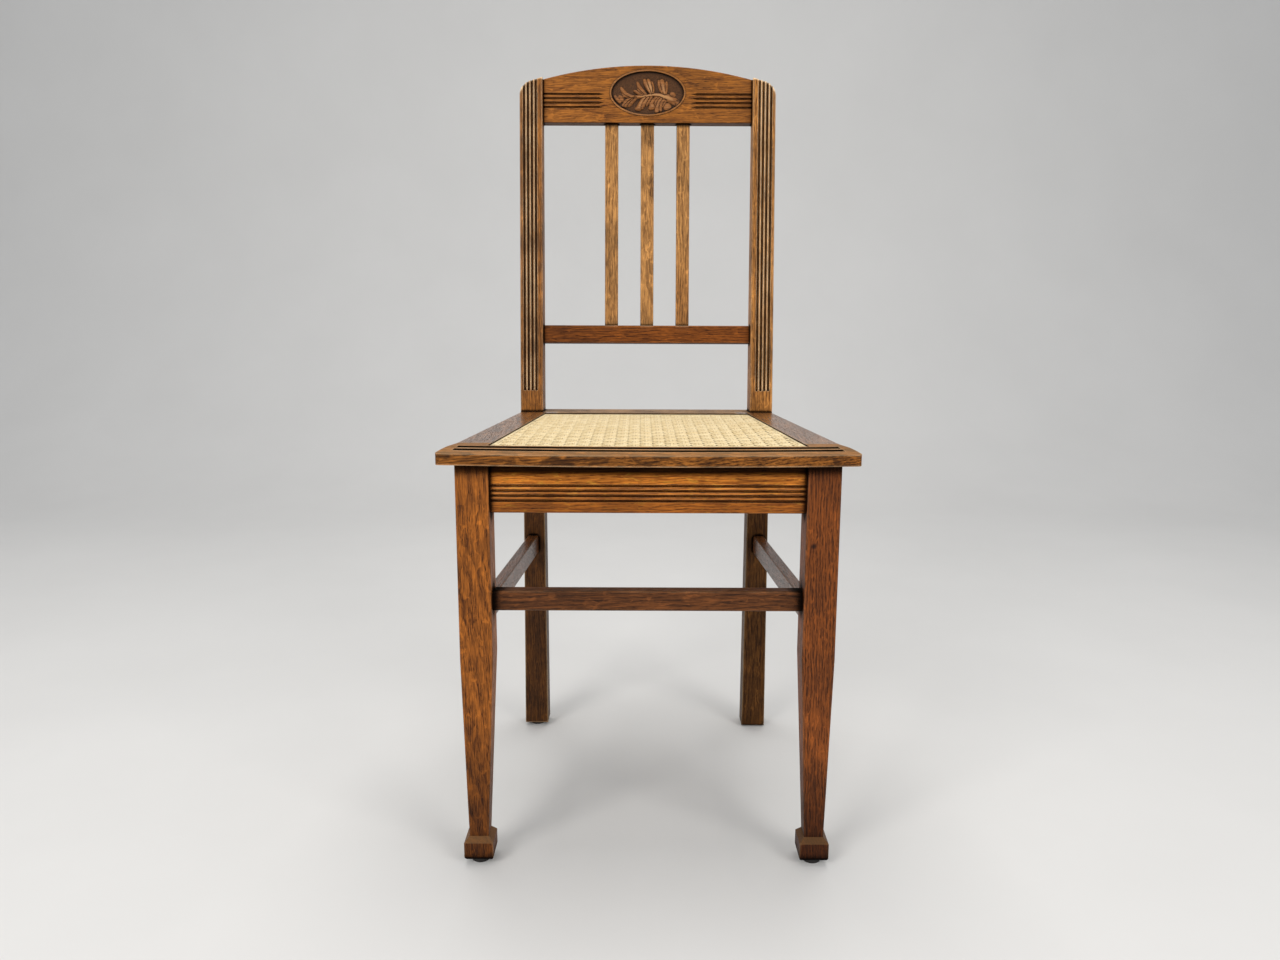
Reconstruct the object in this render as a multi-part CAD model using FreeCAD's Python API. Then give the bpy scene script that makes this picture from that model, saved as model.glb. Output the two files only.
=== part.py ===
import FreeCAD, Part
import math
import os

# Overall driving sizes, in millimetres and degrees
seat_height = 460.0
seat_front_width = 426.0
seat_corner_radius = 5.0
seat_overhang = 20.0
seat_side_overhang = 16.5
seat_rear_overhang = 1.5
seat_end_taper = 12.5
seat_bow = 10.0
seat_thickness = 15.5
leg_face_to_post = 331.5
back_posts_width = 337.0

# Front legs
front_leg_width = 34.5
taper_start = 235.0
ankle_height = 32.0
ankle_outer_taper = 4.0
ankle_inner_taper = 9.5
foot_width = 31.5
foot_block_top = 26.0
foot_edge = 5.0

# Back posts
post_width = 30.0
post_depth = 36.0
post_top_depth = 24.0
post_foot_depth = 30.0
post_foot_taper = 1.6
post_foot_flare = 4.2
post_leg_inset = 2.5
rear_splay = 28.0
rake_angle = 6.6
post_knee_rise = 10.0
post_knee_drop = 10.0
knee_radius = 120.0
post_corner_radius = 20.0
flute_count = 4
flute_pitch = 5.1
flute_radius = 1.65
flute_margin = 6.0
flute_start = 20.0

# Back panel, measured up the raked posts
crest_bottom = 372.5
crest_height = 74.4
crest_end_drop = 18.3
crest_setback = 8.0
crest_groove_count = 4
crest_groove_pitch = 5.6
crest_groove_radius = 1.5
crest_groove_rise = 20.1
crest_groove_inner = 65.0
crest_groove_runout = 8.0
oval_width = 96.5
oval_height = 56.0
oval_rise = 38.8
oval_depth = 3.5
oval_rim_width = 2.0
oval_rim_height = 0.6
lower_rail_bottom = 82.7
lower_rail_height = 23.5
lower_rail_thickness = 18.0
lower_rail_setback = 8.5
slat_width = 17.5
slat_thickness = 9.0
slat_spacing = 47.5
slat_stub = 8.0
slat_setback = 11.5

# Aprons under the seat
apron_height = 53.5
apron_thickness = 19.0
apron_setback = 5.0
side_apron_rear_setback = 3.0
rear_apron_setback = 15.0
apron_groove_count = 4
apron_groove_pitch = 5.2
apron_groove_radius = 1.4
apron_groove_rise = 12.9

# Stretchers
front_stretcher_bottom = 285.5
front_stretcher_height = 21.5
front_stretcher_thickness = 16.0
front_stretcher_setback = 9.0
side_stretcher_bottom = 264.5
side_stretcher_height = 24.0
side_stretcher_thickness = 14.0
side_stretcher_front_inset = 21.7
side_stretcher_rear_inset = 13.0

# Seat frame and cane
cane_front_setback = 35.0
side_border_front = 36.8
side_border_rear = 35.4
cane_rear_gap = 13.5
cane_lip = 15.0
cane_thickness = 1.2
cane_sink = 1.4
cane_net_columns = 12
cane_net_rows = 11
cane_net_bar = 10.5
spline_groove_width = 5.0
spline_groove_depth = 7.0
spline_foot_gap = 1.0
spline_sink = 1.6
seat_edge_radius = 4.0
seat_fall = 4.2
seat_fall_inset = 31.0
seat_groove_width = 6.5
seat_groove_depth = 3.0
seat_groove_first = 14.0
seat_groove_second = 24.0
seat_groove_stop = 13.0

# Joinery
tenon_length = 13.0
tenon_thickness = 8.0
tenon_shoulder = 6.0
frame_tenon_length = 8.0
frame_tenon_thickness = 5.0
frame_tenon_rise = 2.5
frame_tenon_shoulder = 4.5
joint_slack = 0.15
block_leg = 46.0
block_height = 32.0
screw_radius = 2.0
screw_head_radius = 4.0
screw_head_height = 2.6
screw_bite = 8.0
front_screw_inset = 12.0
rear_screw_inset = 24.0

# Glides under the feet
glide_radius = 9.5
glide_height = 5.5
glide_sunk_show = 2.0
glide_nail_radius = 1.2
glide_nail_length = 14.0

# Worn edges of the wood
edge_round = 1.5
slim_edge_round = 1.2

# Cutters reach this far past the wood they cut
cut_overrun = 5.0

# Positions that follow from the sizes
rake = math.radians(rake_angle)
front_legs_width = seat_front_width - 2 * seat_side_overhang
seat_joint_width = seat_front_width - 2 * seat_end_taper
seat_rear_width = back_posts_width + 2 * seat_rear_overhang
cane_front_width = seat_joint_width - 2 * side_border_front
cane_rear_width = seat_rear_width - 2 * side_border_rear
seat_under = seat_height - seat_thickness
apron_bottom = seat_under - apron_height
knee_top = seat_height + post_knee_rise
knee_low = apron_bottom - post_knee_drop
crest_top = crest_bottom + crest_height
crest_thickness = post_top_depth - crest_setback
top_reach = crest_top * math.sin(rake) + post_top_depth * math.cos(rake)
rear_reach = leg_face_to_post + max(top_reach, rear_splay + post_foot_depth, post_depth)
leg_face = (seat_overhang + seat_bow - rear_reach) / 2
post_face = leg_face + leg_face_to_post
leg_back = leg_face + front_leg_width
leg_outer = front_legs_width / 2
leg_inner = leg_outer - front_leg_width
post_outer = back_posts_width / 2
post_inner = post_outer - post_width
seat_front = leg_face - seat_overhang
cane_front = seat_front + cane_front_setback
cane_rear = post_face - cane_rear_gap
arch_radius = (post_inner ** 2 + crest_end_drop ** 2) / (2 * crest_end_drop)
arch_centre = crest_top - arch_radius


def point(x, y, z):
    return FreeCAD.Vector(x, y, z)


def box(x0, x1, y0, y1, z0, z1):
    return Part.makeBox(x1 - x0, y1 - y0, z1 - z0, point(x0, y0, z0))


def cross_bar(half_length, y0, y1, z0, z1, slack=0):
    half = half_length + slack
    return box(-half, half, y0 - slack, y1 + slack, z0 - slack, z1 + slack)


def prism(corners, z0, z1):
    face = Part.Face(Part.makePolygon([point(x, y, z0) for x, y in corners + corners[:1]]))
    return face.extrude(point(0, 0, z1 - z0))


def rectangle_wire(x0, x1, y0, y1, z):
    corners = [(x0, y0), (x1, y0), (x1, y1), (x0, y1), (x0, y0)]
    return Part.makePolygon([point(x, y, z) for x, y in corners])


def mirrored(shape):
    return shape.mirror(point(0, 0, 0), point(1, 0, 0))


def raked(shape):
    moved = shape.copy()
    moved.rotate(point(0, 0, 0), point(1, 0, 0), -rake_angle)
    moved.translate(point(0, post_face, knee_top))
    return moved


def joined(first, second):
    return first.fuse(second).removeSplitter()


def eased(shape, radius):
    longest = max(edge.Length for edge in shape.Edges)
    long_edges = [edge for edge in shape.Edges if edge.Length > longest / 2]
    return shape.makeFillet(radius, long_edges)


def line_at(start, end, y):
    (x0, y0), (x1, y1) = start, end
    return x0 + (x1 - x0) * (y - y0) / (y1 - y0)


def skew_bar(start, end, width, y0, y1, z0, z1, slack=0):
    half = width / 2 + slack
    near_y = y0 - slack
    far_y = y1 + slack
    near = line_at(start, end, near_y)
    far = line_at(start, end, far_y)
    corners = [(near - half, near_y), (near + half, near_y), (far + half, far_y), (far - half, far_y)]
    return prism(corners, z0 - slack, z1 + slack)


# Shared lines of the slanted members on the right-hand side
apron_front_x = leg_outer - apron_setback - apron_thickness / 2
apron_rear_x = post_outer - side_apron_rear_setback - apron_thickness / 2
apron_line = ((apron_front_x, leg_back), (apron_rear_x, post_face))
stretcher_front_x = leg_outer - side_stretcher_front_inset
stretcher_rear_x = post_outer - side_stretcher_rear_inset
stretcher_line = ((stretcher_front_x, leg_back), (stretcher_rear_x, post_face))
seat_side = ((seat_joint_width / 2, cane_front + cane_lip), (seat_rear_width / 2, post_face))
front_end = ((seat_front_width / 2, seat_front), (seat_joint_width / 2, cane_front + cane_lip))
cane_side = ((cane_front_width / 2, cane_front), (cane_rear_width / 2, cane_rear))


def front_apron_tenon(slack):
    y0 = leg_face + apron_setback + (apron_thickness - tenon_thickness) / 2
    z0 = apron_bottom + tenon_shoulder
    z1 = seat_under - tenon_shoulder
    return cross_bar(leg_inner + tenon_length, y0, y0 + tenon_thickness, z0, z1, slack)


def rear_apron_tenon(slack):
    y0 = post_face + rear_apron_setback + (apron_thickness - tenon_thickness) / 2
    z0 = apron_bottom + tenon_shoulder
    z1 = seat_under - tenon_shoulder
    return cross_bar(post_inner + tenon_length, y0, y0 + tenon_thickness, z0, z1, slack)


def side_apron_tenon(slack):
    y0 = leg_back - tenon_length
    y1 = post_face + tenon_length
    z0 = apron_bottom + tenon_shoulder
    return skew_bar(*apron_line, tenon_thickness, y0, y1, z0, seat_under - tenon_shoulder, slack)


def front_stretcher_tenon(slack):
    y0 = leg_face + front_stretcher_setback + (front_stretcher_thickness - tenon_thickness) / 2
    z0 = front_stretcher_bottom + tenon_shoulder
    z1 = front_stretcher_bottom + front_stretcher_height - tenon_shoulder / 2
    return cross_bar(leg_inner + tenon_length, y0, y0 + tenon_thickness, z0, z1, slack)


def side_stretcher_tenon(slack):
    y0 = leg_back - tenon_length
    y1 = post_front_at(side_stretcher_bottom) + tenon_length
    z0 = side_stretcher_bottom + tenon_shoulder / 2
    z1 = side_stretcher_bottom + side_stretcher_height - tenon_shoulder
    return skew_bar(*stretcher_line, tenon_thickness, y0, y1, z0, z1, slack)


def crest_tenon(slack):
    y0 = crest_setback + (crest_thickness - tenon_thickness) / 2
    z0 = crest_bottom + tenon_shoulder
    z1 = crest_top - crest_end_drop - 2 * tenon_shoulder
    return raked(cross_bar(post_inner + tenon_length, y0, y0 + tenon_thickness, z0, z1, slack))


def lower_rail_tenon(slack):
    y0 = lower_rail_setback + (lower_rail_thickness - tenon_thickness) / 2
    z0 = lower_rail_bottom + tenon_shoulder / 2
    z1 = lower_rail_bottom + lower_rail_height - tenon_shoulder / 2
    return raked(cross_bar(post_inner + tenon_length, y0, y0 + tenon_thickness, z0, z1, slack))


def slat(centre_x, slack):
    half = slat_width / 2 + slack
    y0 = slat_setback - slack
    y1 = slat_setback + slat_thickness + slack
    z0 = lower_rail_bottom + lower_rail_height - slat_stub
    z1 = crest_bottom + slat_stub
    return raked(box(centre_x - half, centre_x + half, y0, y1, z0 - slack, z1 + slack))


def back_slat(centre_x):
    return eased(slat(centre_x, 0), slim_edge_round)


slats = {"left": -slat_spacing, "middle": 0, "right": slat_spacing}


# Glide disc with its nail
def glide(x, y, slack):
    disc = Part.makeCylinder(glide_radius + slack, glide_height + slack, point(x, y, 0))
    top = point(x, y, glide_height)
    nail = Part.makeCylinder(glide_nail_radius + slack, glide_nail_length + slack, top)
    return joined(disc, nail)


# Front leg, right-hand side
ankle_x0 = leg_inner + ankle_inner_taper
ankle_x1 = leg_outer - ankle_outer_taper
ankle_y0 = leg_face + ankle_outer_taper
ankle_y1 = leg_back - ankle_inner_taper
foot_x = (ankle_x0 + ankle_x1) / 2
foot_y = (ankle_y0 + ankle_y1) / 2


def front_leg():
    top = box(leg_inner, leg_outer, leg_face, leg_back, taper_start, seat_under)
    half = foot_width / 2
    foot = (foot_x - half, foot_x + half, foot_y - half, foot_y + half)
    start = rectangle_wire(leg_inner, leg_outer, leg_face, leg_back, taper_start)
    ankle = rectangle_wire(ankle_x0, ankle_x1, ankle_y0, ankle_y1, ankle_height)
    flare = rectangle_wire(*foot, foot_block_top)
    taper = Part.makeLoft([start, ankle], True, True)
    bevel = Part.makeLoft([ankle, flare], True, True)
    block = box(*foot, glide_height, foot_block_top)
    low_edges = [e for e in block.Edges if abs(e.BoundBox.ZMax - glide_height) < joint_slack]
    block = block.makeFillet(foot_edge, low_edges)
    shaft = joined(top, taper)
    upright = [e for e in shaft.Edges if e.BoundBox.ZLength > ankle_height]
    shaft = shaft.makeFillet(edge_round, upright)
    leg = joined(shaft, joined(bevel, block))
    leg = leg.cut(front_apron_tenon(joint_slack)).cut(side_apron_tenon(joint_slack))
    leg = leg.cut(front_stretcher_tenon(joint_slack)).cut(side_stretcher_tenon(joint_slack))
    return leg


# Back post, right-hand side: one bent piece from floor to crest
def post_front_at(z):
    return post_face + rear_splay * (knee_low - z) / knee_low


def raked_point(x, y, z):
    turned_y = y * math.cos(rake) + z * math.sin(rake)
    turned_z = z * math.cos(rake) - y * math.sin(rake)
    return point(x, post_face + turned_y, knee_top + turned_z)


def post_outline_prism():
    corner_x = post_outer - post_corner_radius
    corner_z = arch_centre + math.sqrt((arch_radius - post_corner_radius) ** 2 - corner_x ** 2)
    angle = math.atan2(corner_x, corner_z - arch_centre)
    inner_angle = math.asin(post_inner / arch_radius)
    middle = (angle + inner_angle) / 2
    turn = (math.pi / 2 + angle) / 2

    def on_arch(a):
        return point(arch_radius * math.sin(a), 0, arch_centre + arch_radius * math.cos(a))

    def on_corner(a):
        x = corner_x + post_corner_radius * math.sin(a)
        return point(x, 0, corner_z + post_corner_radius * math.cos(a))

    low = -2 * knee_top
    bottom_in = point(post_inner, 0, low)
    bottom_out = point(post_outer, 0, low)
    edges = [
        Part.makeLine(bottom_in, on_arch(inner_angle)),
        Part.Arc(on_arch(inner_angle), on_arch(middle), on_arch(angle)).toShape(),
        Part.Arc(on_corner(angle), on_corner(turn), on_corner(math.pi / 2)).toShape(),
        Part.makeLine(on_corner(math.pi / 2), bottom_out),
        Part.makeLine(bottom_out, bottom_in),
    ]
    face = Part.Face(Part.Wire(edges))
    solid = face.extrude(point(0, 2 * knee_top, 0))
    solid.translate(point(0, -knee_top, 0))
    return raked(solid)


def flutes():
    first = post_outer - flute_margin - flute_pitch * (flute_count - 1)
    tools = []
    for index in range(flute_count):
        foot = point(first + index * flute_pitch, 0, flute_start)
        run = Part.makeCylinder(flute_radius, crest_top - flute_start, foot)
        tools.append(joined(run, Part.makeSphere(flute_radius, foot)))
    return raked(Part.makeCompound(tools))


def post_blank(width):
    side = [
        point(post_inner, post_front_at(0), 0),
        point(post_inner, post_face, knee_low),
        point(post_inner, post_face, knee_top),
        raked_point(post_inner, 0, crest_top),
        raked_point(post_inner, post_top_depth, crest_top),
        point(post_inner, post_face + post_depth, knee_top),
        point(post_inner, post_face + post_depth, knee_low),
        point(post_inner, post_front_at(0) + post_foot_depth, 0),
    ]
    blank = Part.Face(Part.makePolygon(side + side[:1])).extrude(point(width, 0, 0))
    knees = [knee_low, knee_top]
    bends = [e for e in blank.Edges if e.BoundBox.XLength > post_width / 2
             and min(abs(e.CenterOfMass.z - k) for k in knees) < joint_slack]
    return blank.makeFillet(knee_radius, bends)


def back_post(floor_show):
    low_room = post_room(floor_show, seat_height)
    high_room = post_room(seat_height, 2 * knee_top)
    stile = post_blank(post_width).common(high_room)
    uprights = [e for e in stile.Edges if e.BoundBox.XLength < joint_slack
                and e.BoundBox.ZLength > e.BoundBox.YLength]
    stile = stile.makeFillet(edge_round, uprights).common(post_outline_prism())
    leg = post_blank(post_width + post_foot_flare).common(low_room)
    leg = leg.cut(post_taper()).cut(post_inset())
    return joined(leg, stile)


def post_room(z0, z1):
    far_x = post_outer + post_foot_flare + cut_overrun
    return box(post_inner - cut_overrun, far_x, post_face - cut_overrun, post_face + knee_top, z0, z1)


def post_cutter(corners):
    y0 = post_face - cut_overrun
    y1 = post_front_at(0) + post_foot_depth + cut_overrun
    ring = [point(x, y0, z) for x, z in corners + corners[:1]]
    return Part.Face(Part.makePolygon(ring)).extrude(point(0, y1 - y0, 0))


def post_taper():
    near_x = post_inner - cut_overrun
    foot = (post_inner + post_foot_taper, 0)
    return post_cutter([(near_x, 0), foot, (post_inner, knee_low), (near_x, knee_low)])


def post_inset():
    far_x = post_outer + post_foot_flare + cut_overrun
    top_z = seat_height + cut_overrun
    waist = (post_outer - post_leg_inset, apron_bottom)
    foot = (post_outer + post_foot_flare, 0)
    return post_cutter([(post_outer, top_z), (post_outer, seat_under), waist, foot, (far_x, 0), (far_x, top_z)])


def jointed_post(floor_show):
    post = back_post(floor_show).cut(flutes())
    tenons = [crest_tenon, lower_rail_tenon, rear_apron_tenon, side_apron_tenon, side_stretcher_tenon]
    for tenon in tenons:
        post = post.cut(tenon(joint_slack))
    return post


rear_glide_x = (post_inner + post_foot_taper + post_outer + post_foot_flare) / 2
rear_glide_y = post_front_at(0) + post_foot_depth / 2


# Crest rail with its grooves and sunk oval
def crest_rail():
    def on_arch(x):
        return point(x, crest_setback, arch_centre + math.sqrt(arch_radius ** 2 - x ** 2))

    low_left = point(-post_inner, crest_setback, crest_bottom)
    low_right = point(post_inner, crest_setback, crest_bottom)
    edges = [
        Part.makeLine(low_right, on_arch(post_inner)),
        Part.Arc(on_arch(post_inner), on_arch(0), on_arch(-post_inner)).toShape(),
        Part.makeLine(on_arch(-post_inner), low_left),
        Part.makeLine(low_left, low_right),
    ]
    rail = eased(Part.Face(Part.Wire(edges)).extrude(point(0, crest_thickness, 0)), edge_round)
    rim_y = crest_setback - oval_rim_height
    floor_y = crest_setback + oval_depth
    rail = joined(rail, oval_prism(oval_rim_width, rim_y, floor_y))
    rail = rail.cut(oval_prism(0, rim_y - cut_overrun, floor_y))
    for index in range(crest_groove_count):
        groove = crest_groove(crest_bottom + crest_groove_rise + index * crest_groove_pitch)
        rail = rail.cut(groove).cut(mirrored(groove))
    rail = joined(raked(rail), crest_tenon(0))
    for centre_x in slats.values():
        rail = rail.cut(slat(centre_x, joint_slack))
    return rail


def oval_prism(margin, y0, y1):
    ellipse = Part.Ellipse(point(0, 0, 0), oval_width / 2 + margin, oval_height / 2 + margin)
    face = Part.Face(Part.Wire(ellipse.toShape()))
    face.rotate(point(0, 0, 0), point(1, 0, 0), math.degrees(math.pi / 2))
    face.translate(point(0, y0, crest_bottom + oval_rise))
    return face.extrude(point(0, y1 - y0, 0))


def crest_groove(z):
    along = point(1, 0, 0)
    start = point(crest_groove_inner, crest_setback, z)
    length = post_inner + cut_overrun - crest_groove_inner
    run = Part.makeCylinder(crest_groove_radius, length, start, along)
    tip_start = point(crest_groove_inner - crest_groove_runout, crest_setback, z)
    tip = Part.makeCone(0, crest_groove_radius, crest_groove_runout, tip_start, along)
    return joined(run, tip)


def lower_back_rail():
    y0 = lower_rail_setback
    bar = cross_bar(post_inner, y0, y0 + lower_rail_thickness, lower_rail_bottom,
                    lower_rail_bottom + lower_rail_height)
    rail = joined(raked(eased(bar, edge_round)), lower_rail_tenon(0))
    for centre_x in slats.values():
        rail = rail.cut(slat(centre_x, joint_slack))
    return rail


# Aprons
def front_apron():
    y0 = leg_face + apron_setback
    apron = eased(cross_bar(leg_inner, y0, y0 + apron_thickness, apron_bottom, seat_under), edge_round)
    reach = leg_inner + cut_overrun
    for index in range(apron_groove_count):
        z = apron_bottom + apron_groove_rise + index * apron_groove_pitch
        groove = Part.makeCylinder(apron_groove_radius, 2 * reach, point(-reach, y0, z), point(1, 0, 0))
        apron = apron.cut(groove)
    return joined(apron, front_apron_tenon(0))


def rear_apron():
    y0 = post_face + rear_apron_setback
    apron = eased(cross_bar(post_inner, y0, y0 + apron_thickness, apron_bottom, seat_under), edge_round)
    return joined(apron, rear_apron_tenon(0))


def side_apron():
    apron = skew_bar(*apron_line, apron_thickness, leg_back, post_face, apron_bottom, seat_under)
    return joined(eased(apron, edge_round), side_apron_tenon(0))


# Stretchers
def front_stretcher():
    y0 = leg_face + front_stretcher_setback
    z1 = front_stretcher_bottom + front_stretcher_height
    bar = cross_bar(leg_inner, y0, y0 + front_stretcher_thickness, front_stretcher_bottom, z1)
    return joined(eased(bar, edge_round), front_stretcher_tenon(0))


def side_stretcher():
    y1 = post_front_at(side_stretcher_bottom) + tenon_length
    z1 = side_stretcher_bottom + side_stretcher_height
    bar = skew_bar(*stretcher_line, side_stretcher_thickness, leg_back, y1, side_stretcher_bottom, z1)
    return joined(eased(bar, edge_round).cut(back_post(glide_height)), side_stretcher_tenon(0))


# Seat frame: four rails around the cane, seen in plan
bow_radius = ((seat_front_width / 2) ** 2 + seat_bow ** 2) / (2 * seat_bow)
bow_centre = seat_front - seat_bow + bow_radius


def bowed_sheet(inset, z0, z1):
    disc = Part.makeCylinder(bow_radius - inset, z1 - z0, point(0, bow_centre, z0))
    front = seat_front - 2 * seat_bow
    return disc.common(box(-seat_front_width, seat_front_width, front, post_face, z0, z1))


def cane_ring(inset, z0, z1):
    y0 = seat_front - seat_bow
    y1 = cane_rear - inset
    x0 = line_at(*cane_side, y0) - inset
    x1 = line_at(*cane_side, y1) - inset
    outline = prism([(-x0, y0), (x0, y0), (x1, y1), (-x1, y1)], z0, z1)
    return outline.common(bowed_sheet(cane_front_setback + inset, z0, z1))


def front_fall():
    inner = bow_centre - bow_radius + seat_fall_inset
    outer = bow_centre - bow_radius - cut_overrun
    low = seat_height - seat_fall * (inner - outer) / seat_fall_inset
    high = seat_height + cut_overrun
    corners = [(inner, seat_height), (outer, low), (outer, high), (inner, high)]
    face = Part.Face(Part.makePolygon([point(0, y, z) for y, z in corners + corners[:1]]))
    axis = point(0, 0, 1)
    pivot = point(0, bow_centre, 0)
    face.rotate(pivot, axis, math.degrees(-math.pi / 2))
    return face.revolve(pivot, axis, math.degrees(math.pi))


frame_front_y = cane_front + cane_lip
frame_rear_y = cane_rear - cane_lip


def seat_front_rail():
    y0 = seat_front - seat_bow
    x0 = line_at(*front_end, y0)
    x1 = seat_joint_width / 2
    plan = [(-x0, y0), (x0, y0), (x1, frame_front_y), (-x1, frame_front_y)]
    rail = prism(plan, seat_under, seat_height).common(bowed_sheet(0, seat_under, seat_height))
    corners = [e for e in rail.Edges if e.BoundBox.ZLength > seat_thickness / 2
               and e.BoundBox.YMax < leg_face and abs(e.CenterOfMass.x) > leg_inner]
    rail = rail.makeFillet(seat_corner_radius, corners)
    nosing = [e for e in rail.Edges if e.BoundBox.ZMin > seat_height - joint_slack
              and e.BoundBox.YMin < frame_front_y - cane_lip]
    rail = rail.makeFillet(seat_edge_radius, nosing)
    stop0 = x0 - seat_groove_stop
    stop1 = x1 - seat_groove_stop
    stop = [(-stop0, y0), (stop0, y0), (stop1, frame_front_y), (-stop1, frame_front_y)]
    over_z = seat_height + cut_overrun
    rail = rail.cut(front_fall())
    reach = prism(stop, seat_under, over_z)
    for inset in [seat_groove_first, seat_groove_second]:
        fall = seat_fall * (seat_fall_inset - inset) / seat_fall_inset
        floor_z = seat_height - fall - seat_groove_depth
        outer = bowed_sheet(inset, floor_z, over_z)
        inner = bowed_sheet(inset + seat_groove_width, floor_z, over_z)
        rail = rail.cut(outer.cut(inner).common(reach))
    rail = rail.cut(cane_seating())
    for tool in frame_side_tenons(joint_slack):
        rail = rail.cut(tool)
    return rail


def cane_seating():
    lip_z = seat_height - cane_sink - cane_thickness
    floor_z = seat_height - spline_groove_depth
    over_z = seat_height + cut_overrun
    recess = cane_ring(spline_groove_width, lip_z, over_z)
    groove = cane_ring(0, floor_z, over_z)
    groove = groove.cut(cane_ring(spline_groove_width, floor_z, over_z))
    return recess.fuse(groove)


def frame_side_tenons(slack):
    z0 = seat_under + frame_tenon_rise
    inner_x = line_at(*cane_side, frame_front_y) - cane_lip
    outer_x = line_at(*seat_side, frame_front_y)
    centre = (inner_x + outer_x) / 2
    half = (outer_x - inner_x) / 2 - frame_tenon_shoulder + slack
    y0 = frame_front_y - frame_tenon_length - slack
    y1 = frame_front_y + frame_tenon_shoulder
    z1 = z0 + frame_tenon_thickness
    tenon = box(centre - half, centre + half, y0, y1, z0 - slack, z1 + slack)
    return [tenon, mirrored(tenon)]


def frame_rear_tenon(slack):
    z0 = seat_under + frame_tenon_rise
    half = line_at(*cane_side, frame_rear_y) - cane_lip + frame_tenon_length
    y0 = frame_rear_y + frame_tenon_shoulder
    return cross_bar(half, y0, post_face - frame_tenon_shoulder, z0, z0 + frame_tenon_thickness, slack)


def seat_side_rail():
    y0 = frame_front_y
    inner0 = line_at(*cane_side, y0) - cane_lip
    inner1 = line_at(*cane_side, post_face) - cane_lip
    outer0 = line_at(*seat_side, y0)
    plan = [(inner0, y0), (outer0, y0), (seat_rear_width / 2, post_face), (inner1, post_face)]
    rail = prism(plan, seat_under, seat_height)
    outer = [e for e in rail.Edges if e.BoundBox.ZMin > seat_height - joint_slack
             and e.BoundBox.YLength > leg_outer and e.BoundBox.XMax > post_outer]
    rail = rail.makeFillet(seat_edge_radius, outer)
    rail = rail.cut(cane_seating()).cut(frame_rear_tenon(joint_slack))
    return joined(rail, frame_side_tenons(0)[0])


def seat_rear_rail():
    front_half = line_at(*cane_side, frame_rear_y) - cane_lip
    inner_half = line_at(*cane_side, post_face) - cane_lip
    rear = post_face + post_depth
    right = [(front_half, frame_rear_y), (inner_half, post_face), (post_inner, post_face),
             (post_inner, rear)]
    plan = right + [(-x, y) for x, y in reversed(right)]
    rail = prism(plan, seat_under, seat_height).cut(cane_seating())
    return joined(rail, frame_rear_tenon(0))


# Cane sheet turned down into the groove, and the splines that hold it
def cane_net(z0, z1):
    half_bar = cane_net_bar / 2
    row_depth = (frame_rear_y - frame_front_y) / cane_net_rows
    openings = []
    for row in range(cane_net_rows):
        y0 = frame_front_y + row * row_depth + half_bar
        y1 = y0 + row_depth - cane_net_bar
        x0 = line_at(*cane_side, y0) - cane_lip
        x1 = line_at(*cane_side, y1) - cane_lip
        for column in range(cane_net_columns):
            left_share = 2 * column / cane_net_columns - 1
            right_share = left_share + 2 / cane_net_columns
            plan = [(left_share * x0 + half_bar, y0), (right_share * x0 - half_bar, y0),
                    (right_share * x1 - half_bar, y1), (left_share * x1 + half_bar, y1)]
            openings.append(prism(plan, z0, z1))
    return Part.makeCompound(openings)


def cane_panel():
    top = seat_height - cane_sink
    inset = spline_groove_width - cane_thickness
    sheet = cane_ring(inset, top - cane_thickness, top)
    sheet = sheet.cut(cane_net(top - cane_thickness - cut_overrun, top + cut_overrun))
    low = seat_height - spline_groove_depth + spline_foot_gap
    flange = cane_ring(inset, low, top).cut(cane_ring(spline_groove_width, low, top))
    return joined(sheet, flange)


def cane_splines():
    low = seat_height - spline_groove_depth + spline_foot_gap
    top = seat_height - spline_sink
    inset = spline_groove_width - cane_thickness
    ring = cane_ring(0, low, top).cut(cane_ring(inset, low, top))
    y0 = seat_front - seat_bow
    front_x = line_at(*cane_side, y0)
    rear_x = line_at(*cane_side, cane_rear)
    plan = [(front_x - inset, y0), (front_x, y0), (rear_x, cane_rear), (rear_x - inset, cane_rear)]
    band = prism(plan, low, top)
    rest = ring.cut(band).cut(mirrored(band))
    front_half = box(-seat_front_width, seat_front_width, y0, 0, low, top)
    right = ring.common(band)
    return {"front": rest.common(front_half), "rear": rest.cut(front_half), "right": right,
            "left": mirrored(right)}


# Corner blocks and the screws that go up through them into the seat frame
def seat_screw(x, y, slack):
    foot = point(x, y, seat_under - block_height)
    shank_radius = screw_radius + slack
    head = Part.makeCone(screw_head_radius + slack, shank_radius, screw_head_height, foot)
    shank = Part.makeCylinder(shank_radius, block_height + screw_bite + slack, foot)
    return joined(head, shank)


def front_block_screw(slack):
    return seat_screw(leg_inner, leg_back + front_screw_inset, slack)


def rear_block_screw(slack):
    return seat_screw(post_inner + screw_radius, post_face - rear_screw_inset, slack)


def front_corner_block():
    back = leg_face + apron_setback + apron_thickness
    half = apron_thickness / 2
    far_y = leg_back + block_leg
    near_x = line_at(*apron_line, leg_back) - half
    far_x = line_at(*apron_line, far_y) - half
    plan = [(leg_inner - block_leg, back), (leg_inner, back), (leg_inner, leg_back), (near_x, leg_back),
            (far_x, far_y)]
    return prism(plan, seat_under - block_height, seat_under).cut(front_block_screw(joint_slack))


def rear_corner_block():
    face = post_face + rear_apron_setback
    half = apron_thickness / 2
    near_y = post_face - block_leg
    far_x = line_at(*apron_line, post_face) - half
    near_x = line_at(*apron_line, near_y) - half
    plan = [(post_inner - block_leg, face), (post_inner, face), (post_inner, post_face),
            (far_x, post_face), (near_x, near_y)]
    return prism(plan, seat_under - block_height, seat_under).cut(rear_block_screw(joint_slack))


def screw_group():
    right = [front_block_screw(0), rear_block_screw(0)]
    return Part.makeCompound(right + [mirrored(screw) for screw in right])


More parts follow.
